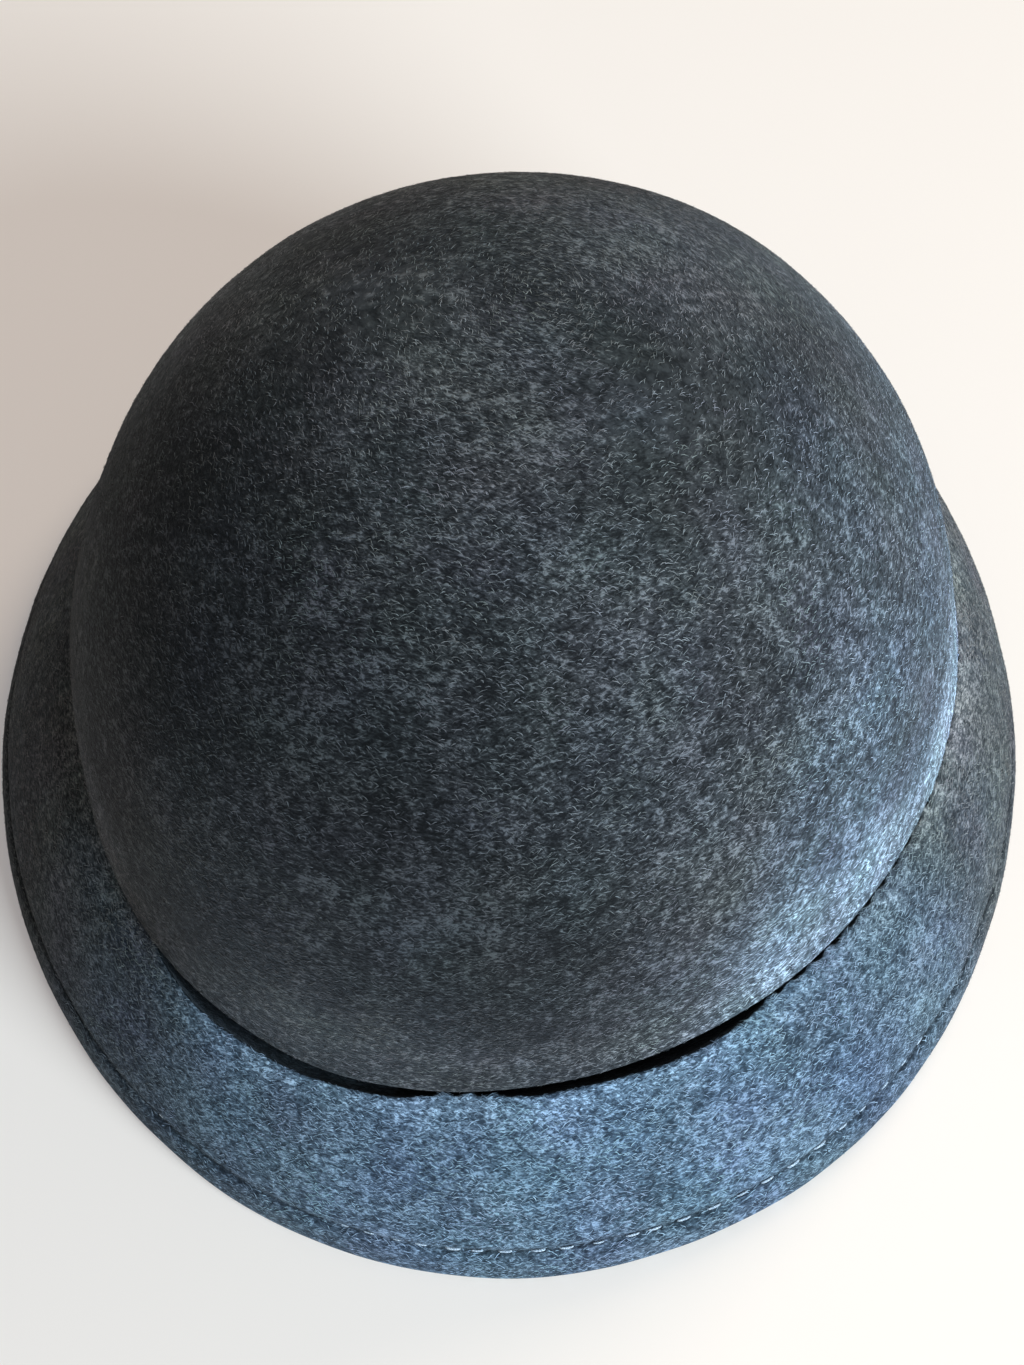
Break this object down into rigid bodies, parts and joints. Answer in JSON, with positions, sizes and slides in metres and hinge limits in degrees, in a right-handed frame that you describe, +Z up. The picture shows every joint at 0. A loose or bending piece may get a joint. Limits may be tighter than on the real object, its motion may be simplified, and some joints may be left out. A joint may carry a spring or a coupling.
{
  "type": "cloche hat",
  "caption": "Bell-shaped wool-felt hat with a domed crown, a recessed seam and a turned-down brim with a stitched hem.",
  "frame": {"origin": "on the surface that the hat rests on, under the middle of its outline", "axes": "+Z up, -Y the hat's front, +X the wearer's left"},
  "size_m": [0.2212, 0.2488, 0.13],
  "materials": {
    "crown_felt": "thick grey-blue melange wool felt, matt, with a soft fuzz",
    "brim_felt": "thick grey-blue melange wool felt, matt, with a soft fuzz"
  },
  "bodies": {
    "root": {"crown": "crown_felt", "brim": "brim_felt"}
  },
  "joints": []
}
